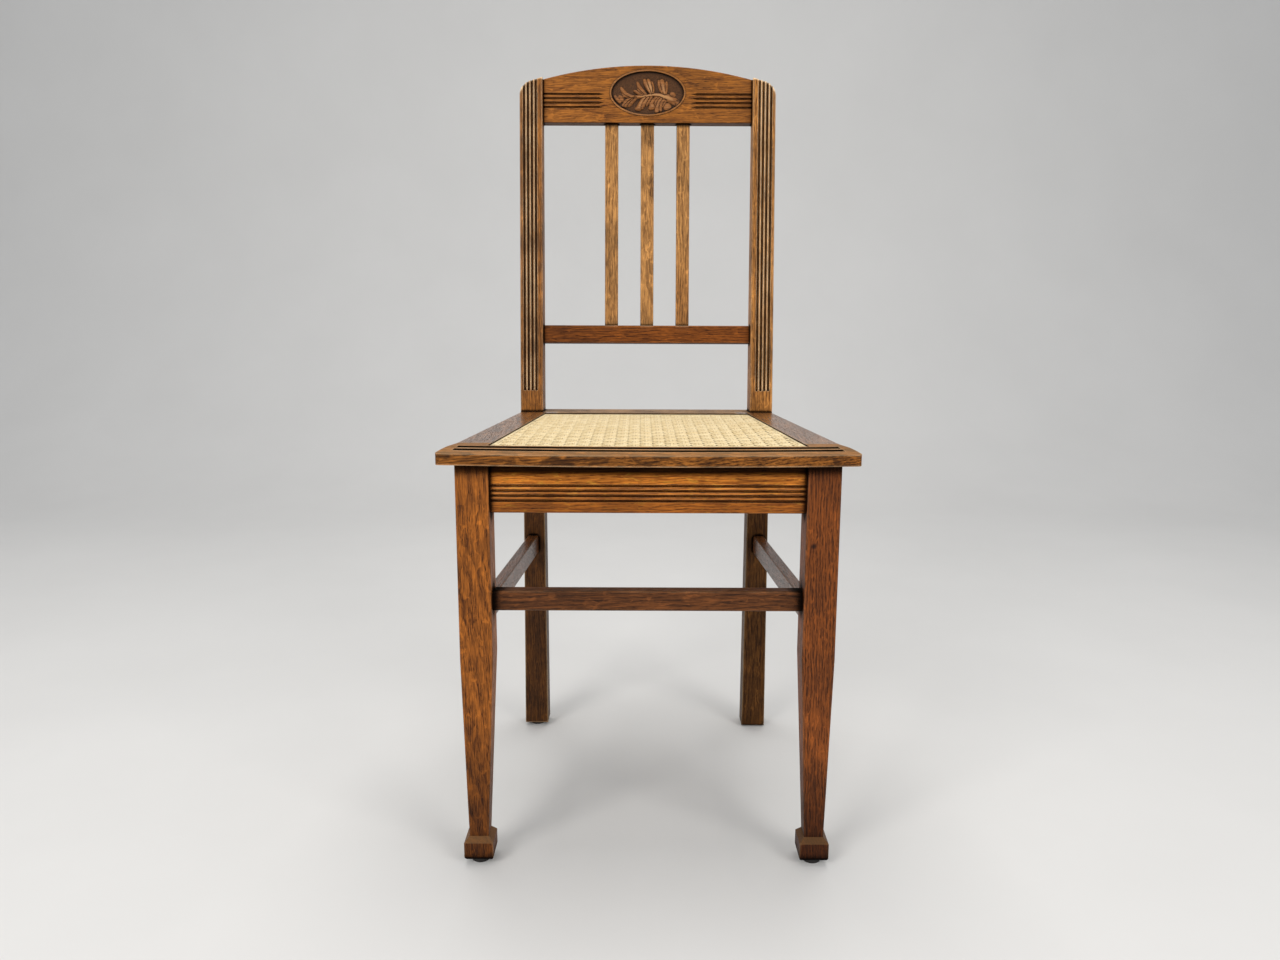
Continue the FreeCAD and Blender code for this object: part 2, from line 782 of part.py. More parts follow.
# Assembly: every node by name
pieces = {}
pieces["front_leg_right"] = front_leg().cut(glide(foot_x, foot_y, joint_slack))
pieces["front_leg_left"] = mirrored(pieces["front_leg_right"])
rear_glide_hole = glide(rear_glide_x, rear_glide_y, joint_slack)
pieces["back_post_right"] = jointed_post(glide_sunk_show).cut(rear_glide_hole)
pieces["back_post_left"] = mirrored(jointed_post(glide_height).cut(rear_glide_hole))
pieces["crest_rail"] = crest_rail()
pieces["lower_back_rail"] = lower_back_rail()
for side, centre_x in slats.items():
    pieces["back_slat_" + side] = back_slat(centre_x)
pieces["front_apron"] = front_apron()
pieces["rear_apron"] = rear_apron()
pieces["side_apron_right"] = side_apron()
pieces["side_apron_left"] = mirrored(pieces["side_apron_right"])
pieces["front_stretcher"] = front_stretcher()
pieces["side_stretcher_right"] = side_stretcher()
pieces["side_stretcher_left"] = mirrored(pieces["side_stretcher_right"])

screw_holes = [front_block_screw(joint_slack), rear_block_screw(joint_slack)]
side_rail = seat_side_rail()
for hole in screw_holes:
    side_rail = side_rail.cut(hole)
pieces["seat_front_rail"] = seat_front_rail()
pieces["seat_side_rail_right"] = side_rail
pieces["seat_side_rail_left"] = mirrored(side_rail)
pieces["seat_rear_rail"] = seat_rear_rail()
pieces["cane_panel"] = cane_panel()
for side, spline in cane_splines().items():
    pieces["cane_spline_" + side] = spline
pieces["corner_block_front_right"] = front_corner_block()
pieces["corner_block_front_left"] = mirrored(pieces["corner_block_front_right"])
pieces["corner_block_rear_right"] = rear_corner_block()
pieces["corner_block_rear_left"] = mirrored(pieces["corner_block_rear_right"])
pieces["seat_screws"] = screw_group()
for name, x, y in [("front", foot_x, foot_y), ("rear", rear_glide_x, rear_glide_y)]:
    pieces["glide_" + name + "_right"] = glide(x, y, 0)
    pieces["glide_" + name + "_left"] = glide(-x, y, 0)

os.makedirs("parts", exist_ok=True)
for name, shape in pieces.items():
    shape.exportStep("parts/" + name + ".step")
    print(name, len(shape.Solids), shape.isValid(), round(shape.Volume), shape.BoundBox)
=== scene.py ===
import itertools
import math

import bpy
import numpy as np
from mathutils import Matrix, Vector


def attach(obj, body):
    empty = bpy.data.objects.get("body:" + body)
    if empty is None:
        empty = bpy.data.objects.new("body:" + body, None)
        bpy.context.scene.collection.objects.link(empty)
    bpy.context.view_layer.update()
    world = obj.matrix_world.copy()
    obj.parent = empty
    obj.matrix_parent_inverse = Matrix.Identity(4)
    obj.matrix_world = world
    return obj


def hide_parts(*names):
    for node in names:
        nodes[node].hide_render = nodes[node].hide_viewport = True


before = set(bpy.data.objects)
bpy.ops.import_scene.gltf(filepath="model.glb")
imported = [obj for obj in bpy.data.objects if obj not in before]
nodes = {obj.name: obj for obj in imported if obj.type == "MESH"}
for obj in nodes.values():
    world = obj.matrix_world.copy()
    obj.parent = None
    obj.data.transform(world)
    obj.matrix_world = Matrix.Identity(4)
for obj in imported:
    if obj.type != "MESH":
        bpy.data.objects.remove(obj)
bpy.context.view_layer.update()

MM = 0.001
WHITE = (1.0, 1.0, 1.0, 1.0)

# The raked back's frame, in millimetres, as the solids have it
RAKE = math.radians(6.6)
POST_FACE = 143.147
KNEE_TOP = 470.0
KNEE_LOW = 381.0
REAR_SPLAY = 28.0
CREST_FACE = 8.0
OVAL_HALF = (48.25, 28.0)
OVAL_DEPTH = 3.5
OVAL_CENTRE = 411.3


def on_back(x, y, s):
    """A point x across, y behind the posts' front and s up the rake, in metres."""
    c, n = math.cos(RAKE), math.sin(RAKE)
    return (x * MM, (POST_FACE + y * c + s * n) * MM, (KNEE_TOP - y * n + s * c) * MM)


class Tree:
    """One node material while it is being made."""

    def __init__(self, name):
        self.material = bpy.data.materials.new(name)
        self.material.use_nodes = True
        self.nodes = self.material.node_tree.nodes
        self.links = self.material.node_tree.links
        self.nodes.clear()

    def add(self, kind, inputs=None, **settings):
        node = self.nodes.new(kind)
        for key, value in settings.items():
            setattr(node, key, value)
        for key, value in (inputs or {}).items():
            self.feed(node.inputs[key], value)
        return node

    def feed(self, socket, value):
        if isinstance(value, bpy.types.NodeSocket):
            self.links.new(value, socket)
        else:
            socket.default_value = value

    def math(self, operation, a, b=0.0, clamp=False):
        node = self.add("ShaderNodeMath", operation=operation, use_clamp=clamp)
        self.feed(node.inputs[0], a)
        self.feed(node.inputs[1], b)
        return node.outputs[0]

    def vector(self, operation, a, b):
        node = self.add("ShaderNodeVectorMath", operation=operation)
        self.feed(node.inputs[0], a)
        self.feed(node.inputs[1], b)
        return node.outputs

    def mix(self, factor, a, b, blend="MIX"):
        node = self.add("ShaderNodeMix", data_type="RGBA", blend_type=blend)
        self.feed(node.inputs[0], factor)
        self.feed(node.inputs[6], a)
        self.feed(node.inputs[7], b)
        return node.outputs[2]

    def times(self, colour, factor):
        return self.mix(1.0, colour, factor, "MULTIPLY")

    def span(self, value, low, high, to_low=0.0, to_high=1.0):
        """A smooth step from to_low where value is low to to_high where it is high."""
        node = self.add("ShaderNodeMapRange", interpolation_type="SMOOTHSTEP")
        for index, item in enumerate([value, low, high, to_low, to_high]):
            self.feed(node.inputs[index], item)
        return node.outputs[0]

    def place(self):
        return self.add("ShaderNodeTexCoord").outputs["Object"]

    def split(self, vector):
        return self.add("ShaderNodeSeparateXYZ", {"Vector": vector}).outputs

    def join(self, x, y, z):
        return self.add("ShaderNodeCombineXYZ", {"X": x, "Y": y, "Z": z}).outputs[0]

    def moved(self, vector, location=(0, 0, 0), rotation=(0, 0, 0), scale=(1, 1, 1)):
        return self.add("ShaderNodeMapping", {"Vector": vector, "Location": location, "Rotation": rotation,
                                              "Scale": scale}).outputs[0]

    def noise(self, vector, scale, detail=4.0, rough=0.55, distort=0.0, location=(0, 0, 0)):
        """Noise with scale turns per metre along each axis."""
        inputs = {"Vector": self.moved(vector, location=location, scale=scale), "Scale": 1.0,
                  "Detail": detail, "Roughness": rough, "Distortion": distort}
        return self.add("ShaderNodeTexNoise", inputs).outputs[0]

    def attribute(self, name):
        return self.add("ShaderNodeAttribute", attribute_name=name).outputs["Fac"]

    def openness(self, reach, samples=8, inside=False):
        """1 on open faces, less where other faces are within reach."""
        node = self.add("ShaderNodeAmbientOcclusion", {"Distance": reach}, samples=samples, inside=inside)
        return node.outputs["AO"]

    def bump(self, height, strength, depth):
        inputs = {"Strength": strength, "Distance": depth, "Height": height}
        return self.add("ShaderNodeBump", inputs).outputs[0]

    def finish(self, inputs):
        shader = self.add("ShaderNodeBsdfPrincipled", inputs)
        self.add("ShaderNodeOutputMaterial", {"Surface": shader.outputs[0]})
        return self.material


def linear(red, green, blue):
    """A screen colour of 0 to 255 as the linear colour that shaders take."""
    def one(v):
        v = v / 255
        return v / 12.92 if v <= 0.04045 else ((v + 0.055) / 1.055) ** 2.4
    return (one(red), one(green), one(blue), 1.0)


def shaded(colour, factor):
    return tuple(min(1.0, c * factor) for c in colour[:3]) + (1.0,)


# Oak patterns: turns per metre across, across and along the grain
DRIFT = dict(scale=(30, 30, 7), detail=2.0)
FIBRE = dict(scale=(1250, 1250, 42), detail=3.0, rough=0.65)
PORE = dict(scale=(1500, 1500, 110), detail=2.0, rough=0.5, location=(3.1, 1.7, 0.4))
FLECK = dict(scale=(260, 120, 80), detail=2.0, rough=0.5, distort=0.8, location=(1.3, 5.1, 2.2))
STREAK = dict(scale=(380, 380, 9), detail=3.0, rough=0.6, location=(7.7, 2.2, 1.1))
BLOTCH = dict(scale=(14, 14, 14), detail=5.0, rough=0.65)
STAIN = dict(scale=(60, 60, 30), detail=4.0, rough=0.6, distort=0.8, location=(4.4, 0.3, 8.1))
RINGS = {"Scale": 105.0, "Distortion": 1.0, "Detail": 2.0, "Detail Scale": 1.2, "Detail Roughness": 0.6}
RING_STRETCH = (1, 1, 0.04)
RING_SWING = 0.016
GRAIN_TURN = {"Z": (0, 0, 0), "X": (0, math.pi / 2, 0), "Y": (math.pi / 2, 0, 0)}
SIDE_SLANT_SHARE = 0.6
SEED_SHIFT = (0.37, 0.23, 0.61)
SEED_TURN = 0.9

# Spans: a value's low and high, then what they become where that isn't 0 and 1
NOISE_MIDDLE = 0.5
NOISE_SPAN = (0.3, 0.7)
RING_SPAN = (0.35, 1.0)
PORE_SPAN = (0.54, 0.66)
EARLY_PORE_SPAN = (0.0, 0.7, 0.5, 1.0)
FIBRE_SPAN = (0.38, 0.62)
STREAK_SPAN = (0.34, 0.66)
FLECK_SPAN = (0.58, 0.68, 0.0, 0.35)
STAIN_SPAN = (0.48, 0.64)
KNOT_SPAN = (0.0015, 0.0045, 0.9, 0.0)
# painted shade in hollows and under overhangs fades out over this span of openness
HOLLOW_SHADE_SPAN = (0.70, 0.95, 1.0, 0.0)
CORNER_SPAN = (0.85, 0.45)
# patches where corners are worn and also painted lighter as highlights
WEAR_HIGHLIGHT_PATCH_SPAN = (0.35, 0.65, 0.3, 1.0)
TOP_SPAN = (0.2, 0.7)
# painted shade on faces turned down
UNDERSIDE_SPAN = (-0.9, -0.5, 0.30, 1.0)
# painted shade on faces turned to the back
REAR_SPAN = (0.3, 0.8, 1.0, 0.55)

# How much each pattern counts, and what it makes of the light and dark tones
FIBRE_SHARE = 0.60
STREAK_SHARE = 0.26
PORE_SHARE = 0.85
MOTTLE_LIGHT_SHARE = 0.8
RAGGED_SHARE = 0.2
LIGHT_LIFT = 1.1
DARK_DROP = 0.78
FLECK_LIFT = 1.5
PORE_DROP = 0.22
STAIN_DROP = 0.3
KNOT_DROP = 0.12
# colour of the painted shade in hollows and under overhangs
HOLLOW_SHADE_DROP = 0.09
# pale grey tone of up-facing faces: painted sheen and dust
SHEEN_AND_DUST_TONE = linear(196, 150, 96)
# pale colour of worn corners and of the painted highlights on edges and flute ridges
WORN_EDGE_HIGHLIGHT_TONE = linear(244, 210, 166)
SHADE_TINT = (1.0, 0.91, 0.80, 1.0)

# Shine, roughness and relief of the oak
CORNER_REACH = 0.003
CLEAN_SHINE = 0.25
# shine left in the painted shade of the hollows
HOLLOW_SHADE_SHINE = 0.05
POLISH_SHINE = 2
SHADE_SHINE = 3
SMOOTH_ROUGHNESS = 0.36
FIBRE_ROUGHNESS = 0.50
PORE_ROUGHNESS = 0.3
HOLLOW_ROUGHNESS = 0.25
FIBRE_RELIEF = 0.25
OAK_BUMP = (0.4, 0.00025)


def straightened(t, place):
    """Coordinates with the back posts' bends taken out, so that the grain follows the posts."""
    part = t.split(place)
    above = t.math("MAXIMUM", t.math("SUBTRACT", part["Z"], KNEE_TOP * MM), 0.0)
    below = t.math("MAXIMUM", t.math("SUBTRACT", KNEE_LOW * MM, part["Z"]), 0.0)
    rake = t.math("MULTIPLY", above, math.tan(RAKE))
    splay = t.math("MULTIPLY", below, REAR_SPLAY / KNEE_LOW)
    depth = t.math("SUBTRACT", part["Y"], t.math("ADD", rake, splay))
    return t.join(part["X"], depth, part["Z"])


def growth_rings(t, base):
    """Bands of early wood, bent by slow noise."""
    bend = t.math("MULTIPLY", t.math("SUBTRACT", t.noise(base, **DRIFT), NOISE_MIDDLE), RING_SWING)
    bent = t.vector("ADD", t.moved(base, scale=RING_STRETCH), t.join(bend, bend, 0.0))["Vector"]
    ring = t.add("ShaderNodeTexWave", {"Vector": bent, **RINGS},
                 wave_type="BANDS", bands_direction="X", wave_profile="SAW")
    return t.span(ring.outputs["Fac"], *RING_SPAN)


def grain(t, base, light, dark, figure):
    """Colour of the bare wood, with the fibre and pore patterns that also shape its surface."""
    early = growth_rings(t, base)
    fibre = t.noise(base, **FIBRE)
    pore = t.span(t.noise(base, **PORE), *PORE_SPAN)
    pores = t.math("MULTIPLY", pore, t.span(early, *EARLY_PORE_SPAN))
    fleck = t.span(t.noise(base, **FLECK), *FLECK_SPAN)
    streak = t.span(t.noise(base, **STREAK), *STREAK_SPAN)
    tone = t.math("MULTIPLY", early, figure)
    tone = t.math("ADD", tone, t.math("MULTIPLY", t.span(fibre, *FIBRE_SPAN), FIBRE_SHARE))
    tone = t.math("ADD", tone, t.math("MULTIPLY", streak, STREAK_SHARE), True)
    colour = t.mix(tone, light, dark)
    colour = t.mix(fleck, colour, shaded(light, FLECK_LIFT))
    colour = t.mix(t.math("MULTIPLY", pores, PORE_SHARE), colour, shaded(dark, PORE_DROP))
    return colour, fibre, pores


def stained(t, colour, place, base, dark, stain, knot):
    """Dark stains along the grain, and the knot where there is one."""
    colour = t.mix(t.span(t.noise(base, **STAIN), *STAIN_SPAN, 0.0, stain), colour, shaded(dark, STAIN_DROP))
    if knot:
        away = t.vector("DISTANCE", place, knot)["Value"]
        colour = t.mix(t.span(away, *KNOT_SPAN), colour, shaded(dark, KNOT_DROP))
    return colour


def hollows_and_edges(t, colour, dark, blotch, wear_and_highlight, hollow):
    """Painted shade in the hollows and under overhangs, and corners that are worn and painted lighter as
    highlights.
    """
    # Painted shade: darker wherever other faces lie within reach, in hollows and under overhangs
    hollow_shade = t.span(t.openness(hollow), *HOLLOW_SHADE_SPAN)
    colour = t.mix(hollow_shade, colour, shaded(dark, HOLLOW_SHADE_DROP))
    # Worn corners and ridges, also painted lighter as highlights
    corner = t.span(t.openness(CORNER_REACH, inside=True), *CORNER_SPAN)
    edge_wear_highlight = t.math("MULTIPLY", corner, t.span(blotch, *WEAR_HIGHLIGHT_PATCH_SPAN))
    edge_wear_highlight = t.math("MULTIPLY", edge_wear_highlight, t.math("SUBTRACT", 1.0, hollow_shade))
    return t.mix(t.math("MULTIPLY", edge_wear_highlight, wear_and_highlight, True), colour, WORN_EDGE_HIGHLIGHT_TONE), hollow_shade


def facing_and_height_shading(t, colour, shine, place, blotch, shades, top_sheen_and_dust):
    """Up-facing faces paler with painted sheen and dust, undersides and rear faces darker with painted shade,
    and the shades between two heights.
    """
    facing = t.split(t.add("ShaderNodeNewGeometry").outputs["True Normal"])
    # Up-facing faces paler: painted sheen and dust
    if top_sheen_and_dust:
        colour = t.mix(t.span(facing["Z"], *TOP_SPAN, 0.0, top_sheen_and_dust), colour, SHEEN_AND_DUST_TONE)
    # Painted shade on undersides
    colour = t.times(colour, t.span(facing["Z"], *UNDERSIDE_SPAN))
    # Painted shade on rear faces, away from the lamps
    colour = t.times(colour, t.span(facing["Y"], *REAR_SPAN))
    height = t.split(place)["Z"]
    ragged = t.math("SUBTRACT", blotch, NOISE_MIDDLE)
    for dark_height, clear_height, light_left in shades:
        swing = RAGGED_SHARE * abs(clear_height - dark_height)
        edge = t.math("ADD", height, t.math("MULTIPLY", ragged, swing))
        clear = t.span(edge, dark_height, clear_height)
        colour = t.times(colour, t.mix(clear, shaded(SHADE_TINT, light_left), WHITE))
        shine_left = min(1.0, SHADE_SHINE * light_left)
        shine = t.math("MULTIPLY", shine, t.span(clear, 0.0, 1.0, shine_left, 1.0))
    return colour, shine


def oak(name, axis, light, dark, seed, figure=0.30, slant=0.02, mottle=0.30, stain=0.12, polish=-0.03,
        wear_and_highlight=0.42, hollow=0.0035, shades=(), top_sheen_and_dust=0.0, knot=None):
    """Stained oak with its grain along axis, light to dark, no two seeds alike."""
    t = Tree(name)
    place = straightened(t, t.place())
    shift = tuple(step * seed for step in SEED_SHIFT)
    along = t.moved(t.moved(place, rotation=GRAIN_TURN[axis]), rotation=(slant, SIDE_SLANT_SHARE * slant, 0))
    base = t.moved(along, location=shift, rotation=(0, 0, SEED_TURN * seed))

    colour, fibre, pores = grain(t, base, shaded(light, LIGHT_LIFT), shaded(dark, DARK_DROP), figure)
    blotch = t.noise(place, location=shift, **BLOTCH)
    colour = t.times(colour, t.span(blotch, *NOISE_SPAN, 1 - mottle, 1 + MOTTLE_LIGHT_SHARE * mottle))
    colour = stained(t, colour, place, base, dark, stain, knot)
    # hollow is how far the painted shade reaches; far on the legs, apron, slats and stretcher to paint shade
    # under the seat and crest
    colour, hollow_shade = hollows_and_edges(t, colour, dark, blotch, wear_and_highlight, hollow)
    # less shine where the painted shade lies
    shine = t.span(hollow_shade, 0.0, 1.0, CLEAN_SHINE + POLISH_SHINE * polish, HOLLOW_SHADE_SHINE)
    # Painted sheen and dust on up-facing faces, painted shade on undersides and rear faces, and the shades
    # between heights
    colour, shine = facing_and_height_shading(t, colour, shine, place, blotch, shades, top_sheen_and_dust)

    rough = t.span(fibre, *NOISE_SPAN, SMOOTH_ROUGHNESS - polish, FIBRE_ROUGHNESS - polish)
    rough = t.math("ADD", rough, t.math("MULTIPLY", pores, PORE_ROUGHNESS))
    rough = t.math("ADD", rough, t.math("MULTIPLY", hollow_shade, HOLLOW_ROUGHNESS), True)
    relief = t.math("SUBTRACT", t.math("MULTIPLY", fibre, FIBRE_RELIEF), pores)
    return t.finish({"Base Color": colour, "Roughness": rough, "Normal": t.bump(relief, *OAK_BUMP),
                     "Specular IOR Level": shine})


PLAIN_PATCH = dict(scale=(60, 60, 60), detail=3.0)
PLAIN_BUMP = (0.25, 0.0002)
PLAIN_SWING = 0.25
ROUGHNESS_SWING = 0.15


def plain(name, colour, roughness, metallic=0.0, specks=400.0):
    """A plain material, a little mottled and worn, with specks turns of noise per metre."""
    t = Tree(name)
    place = t.place()
    speck = t.noise(place, (specks, specks, specks))
    patch = t.span(t.noise(place, **PLAIN_PATCH), *NOISE_SPAN, 1 - PLAIN_SWING, 1 + PLAIN_SWING)
    smoothest = roughness * (1 - ROUGHNESS_SWING)
    roughest = min(1.0, roughness * (1 + ROUGHNESS_SWING))
    return t.finish({"Base Color": t.times(colour, patch), "Metallic": metallic,
                     "Roughness": t.span(speck, *NOISE_SPAN, smoothest, roughest),
                     "Normal": t.bump(speck, *PLAIN_BUMP)})


def dress(node, material):
    mesh = nodes[node].data
    mesh.materials.clear()
    mesh.materials.append(material)


# Shades: the height in metres where it is darkest, where it has gone, and the light left in it
# painted shadow of the crest rail on the slats' tops
SLAT_TOP_SHADOW = (0.838, 0.832, 0.12)
# right slat darker towards its foot
SLAT_FOOT = (0.60, 0.71, 0.72)
# rear legs below the seat darker: partly the seat's painted shadow, partly darker stain
REAR_LEG_LEFT = (0.315, 0.445, 0.30)
REAR_LEG_RIGHT = (0.315, 0.445, 0.22)
# front legs darker towards the floor
FRONT_FOOT_LEFT = (-0.005, 0.235, 0.30)
FRONT_FOOT_RIGHT = (-0.005, 0.175, 0.26)
# painted shade along the apron's lower edge
APRON_EDGE_SHADE = (0.397, 0.430, 0.42)
# painted shadow of the seat's front edge across the top of the apron
UNDER_SEAT_SHADOW = (0.4345, 0.4275, 0.04)
KNOT = (0.1701, -0.1884, 0.3578)

# Wood of each member: its nodes, grain direction, light and dark tones, and how it differs from other oak
MEMBERS = [
    (["crest_rail"], "X", (164, 101, 34), (98, 52, 13), dict(wear_and_highlight=0.12, mottle=0.18, figure=0.22)),
    (["lower_back_rail"], "X", (136, 75, 22), (70, 33, 8), dict(mottle=0.2, polish=-0.06)),
    # The slats' far-reaching hollow paints the shade under the crest rail
    (["back_slat_left", "back_slat_middle"], "Z", (194, 140, 79), (112, 72, 34),
     dict(shades=[SLAT_TOP_SHADOW], hollow=0.015)),
    (["back_slat_right"], "Z", (194, 140, 79), (112, 72, 34),
     dict(shades=[SLAT_TOP_SHADOW, SLAT_FOOT], hollow=0.015)),
    # The posts' flute ridges carry strong painted highlights on top of their wear
    (["back_post_left"], "Z", (156, 100, 42), (88, 50, 18),
     dict(shades=[REAR_LEG_LEFT], wear_and_highlight=1.5, hollow=0.005, stain=0.35)),
    (["back_post_right"], "Z", (192, 130, 62), (108, 64, 24),
     dict(shades=[REAR_LEG_RIGHT], wear_and_highlight=1.8, hollow=0.005, stain=0.35)),
    # The front legs' far-reaching hollow paints the shade under the seat's edge
    (["front_leg_left"], "Z", (180, 105, 35), (98, 51, 13),
     dict(shades=[FRONT_FOOT_LEFT], hollow=0.022, top_sheen_and_dust=0.5)),
    (["front_leg_right"], "Z", (142, 75, 25), (74, 36, 10),
     dict(shades=[FRONT_FOOT_RIGHT], hollow=0.022, top_sheen_and_dust=0.4, knot=KNOT)),
    # The front apron's tones are painted brighter than its wood, standing in for the light on it
    (["front_apron"], "X", (250, 150, 50), (166, 90, 22),
     dict(shades=[APRON_EDGE_SHADE, UNDER_SEAT_SHADOW], wear_and_highlight=0.6, hollow=0.008, stain=0.05)),
    (["side_apron_left", "side_apron_right"], "Y", (150, 86, 36), (90, 48, 18), {}),
    (["rear_apron"], "X", (110, 66, 32), (64, 36, 15), {}),
    # The stretcher's far-reaching hollow paints the shade at its ends against the legs
    (["front_stretcher"], "X", (112, 64, 28), (56, 30, 10), dict(hollow=0.025)),
    (["side_stretcher_left", "side_stretcher_right"], "Y", (114, 66, 30), (58, 31, 11), dict(polish=0.14)),
    (["seat_front_rail"], "X", (156, 96, 36), (66, 35, 10),
     dict(hollow=0.012, figure=0.4, slant=0.10, stain=0.7, top_sheen_and_dust=0.26, polish=-0.06)),
    (["seat_side_rail_left", "seat_side_rail_right"], "Y", (140, 92, 48), (78, 46, 20), dict(polish=0.18)),
    (["seat_rear_rail"], "X", (170, 130, 86), (112, 78, 46), {}),
]
RAW_TONES = (linear(176, 132, 86), linear(122, 84, 50))
GLIDE_BLACK = linear(30, 27, 25)
STEEL = linear(150, 146, 140)
REED = linear(226, 206, 162)
GLIDE_ROUGHNESS = 0.55
STEEL_ROUGHNESS = 0.38
REED_ROUGHNESS = 0.5
REED_SPECKS = 900.0
FIRST_SEED = 2


def dress_nodes():
    seeds = itertools.count(FIRST_SEED)
    for names, axis, light, dark, more in MEMBERS:
        for name in names:
            dress(name, oak("oak_" + name, axis, linear(*light), linear(*dark), next(seeds), **more))
    for corner in ["front_left", "front_right", "rear_left", "rear_right"]:
        dress("corner_block_" + corner, oak("raw_" + corner, "X", *RAW_TONES, next(seeds)))
        dress("glide_" + corner, plain("glide_" + corner, GLIDE_BLACK, GLIDE_ROUGHNESS))
    dress("seat_screws", plain("screw_steel", STEEL, STEEL_ROUGHNESS, metallic=1.0))
    for side in ["front", "rear", "left", "right"]:
        dress("cane_spline_" + side, plain("reed_" + side, REED, REED_ROUGHNESS, specks=REED_SPECKS))


def smooth_mesh(name, verts, faces):
    mesh = bpy.data.meshes.new(name)
    mesh.from_pydata(verts, [], faces)
    mesh.polygons.foreach_set("use_smooth", [True] * len(faces))
    return mesh


def linked(name, data):
    item = bpy.data.objects.new(name, data)
    bpy.context.scene.collection.objects.link(item)
    return item


# The woven seat, in millimetres: pairs of strands both ways and single diagonals, ends in the groove
PITCH = 13.2
PAIR = 1.5
STRAND = 2.7
NARROWEST_SHARE = 0.94
WIDTH_SWING_SHARE = 0.12
THICK = 0.7
WEAVE = 0.38
DIAGONAL = 0.55
CANE_MID = 458.0
CANE_REAR = 129.647
CANE_MIDDLE = -20.0
SIDE_FRONT = (163.7, -173.353)
SIDE_REAR = (134.6, CANE_REAR)
BOW_HALF = 213.0
BOW_RISE = 10.0
BOW_RADIUS = (BOW_HALF ** 2 + BOW_RISE ** 2) / (2 * BOW_RISE)
BOW_FRONT = -218.353
CANE_SETBACK = 35.0
TURN = 4.9
TURNED_DOWN = [(0.45, 0.35), (0.7, 1.1), (0.75, 2.6)]
SECTION_SHARES = [(-0.5, -0.5), (-0.42, 0.22), (-0.16, 0.5), (0.16, 0.5), (0.42, 0.22), (0.5, -0.5)]
WEAVE_REACH = 360
STRAND_REACH = 330.0
SEARCH_STEP = 0.25
FEWEST_INSIDE = 40
STRAND_STEP = 2.0
FEWEST_STEPS = 6
CANE_SEED = 7

# Split cane: turns of the marks per metre, spans as for the oak, and colours
CANE_FIBRE = dict(scale=(2600, 45, 2600), detail=3.0)
CANE_STAIN = dict(scale=(26, 26, 26), detail=4.0)
CANE_TURNS = [0, 90, 45, -45]
CANE_FIBRE_SPAN = (0.35, 0.75, 0.0, 0.45)
CANE_STAIN_SPAN = (0.5, 0.75, 0.0, 0.35)
CANE_HOLLOW_SPAN = (0.30, 0.80, 0.45, 0.0)
CANE_PALE = linear(238, 221, 180)
CANE_DEEP = linear(216, 194, 147)
CANE_FIBRE_TONE = linear(206, 178, 124)
CANE_STAIN_TONE = linear(214, 188, 136)
# colour of the painted shade in the gaps between strands
CANE_GAP_SHADE = linear(170, 142, 96)
CANE_HOLLOW_REACH = 0.0015
CANE_SAMPLES = 6
CANE_BUMP = (0.25, 0.0001)
CANE_ROUGHNESS = 0.42
CANE_SHINE = 0.35


def cane_skin(name, turn):
    """Shiny split cane with its fibres along the strand."""
    t = Tree(name)
    place = t.place()
    fibre = t.noise(t.moved(place, rotation=(0, 0, turn)), **CANE_FIBRE)
    stain = t.noise(place, **CANE_STAIN)
    colour = t.mix(t.attribute("tone"), CANE_PALE, CANE_DEEP)
    colour = t.mix(t.span(fibre, *CANE_FIBRE_SPAN), colour, CANE_FIBRE_TONE)
    colour = t.mix(t.span(stain, *CANE_STAIN_SPAN), colour, CANE_STAIN_TONE)
    # Painted shade in the narrow gaps between strands
    hollow = t.span(t.openness(CANE_HOLLOW_REACH, CANE_SAMPLES), *CANE_HOLLOW_SPAN)
    colour = t.mix(hollow, colour, CANE_GAP_SHADE)
    return t.finish({"Base Color": colour, "Roughness": CANE_ROUGHNESS, "Normal": t.bump(fibre, *CANE_BUMP),
                     "Specular IOR Level": CANE_SHINE})


def room(x, y):
    """How far inside the spline's outer edge a point of the seat lies."""
    slope = (SIDE_FRONT[0] - SIDE_REAR[0]) / (SIDE_REAR[1] - SIDE_FRONT[1])
    side = (SIDE_FRONT[0] - slope * (y - SIDE_FRONT[1]) - np.abs(x)) / math.hypot(1, slope)
    front = BOW_RADIUS - CANE_SETBACK - np.hypot(x, y - BOW_FRONT - BOW_RADIUS)
    return np.minimum(np.minimum(front, CANE_REAR - y), side)


def strand_lines():
    """(kind, start, direction, row) of each strand; kind 0 along Y, 1 along X, 2 and 3 the diagonals."""
    lines = []
    count = int(WEAVE_REACH / PITCH)
    half = math.sqrt(0.5)
    for row in range(-count, count + 1):
        for side in (-1, 1):
            offset = row * PITCH
            lines.append((0, (offset + side * PAIR, CANE_MIDDLE), (0.0, 1.0), row))
            lines.append((1, (0.0, CANE_MIDDLE + offset + side * PAIR), (1.0, 0.0), row))
        between = (row + 0.5) * PITCH / 2
        lines.append((2, (between, CANE_MIDDLE + between), (half, -half), row))
        lines.append((3, (between, CANE_MIDDLE - between), (half, half), row))
    return lines


def woven_height(kind, x, y, row):
    """Height of a strand's middle as it passes over and under the others."""
    u, v = x / PITCH, (y - CANE_MIDDLE) / PITCH
    if kind == 0:
        return WEAVE * (-1) ** row * np.cos(math.pi * v)
    if kind == 1:
        return -WEAVE * (-1) ** row * np.cos(math.pi * u)
    sign = 1 if kind == 2 else -1
    return DIAGONAL / 2 * sign * (np.cos(2 * math.pi * u) - np.cos(2 * math.pi * v))


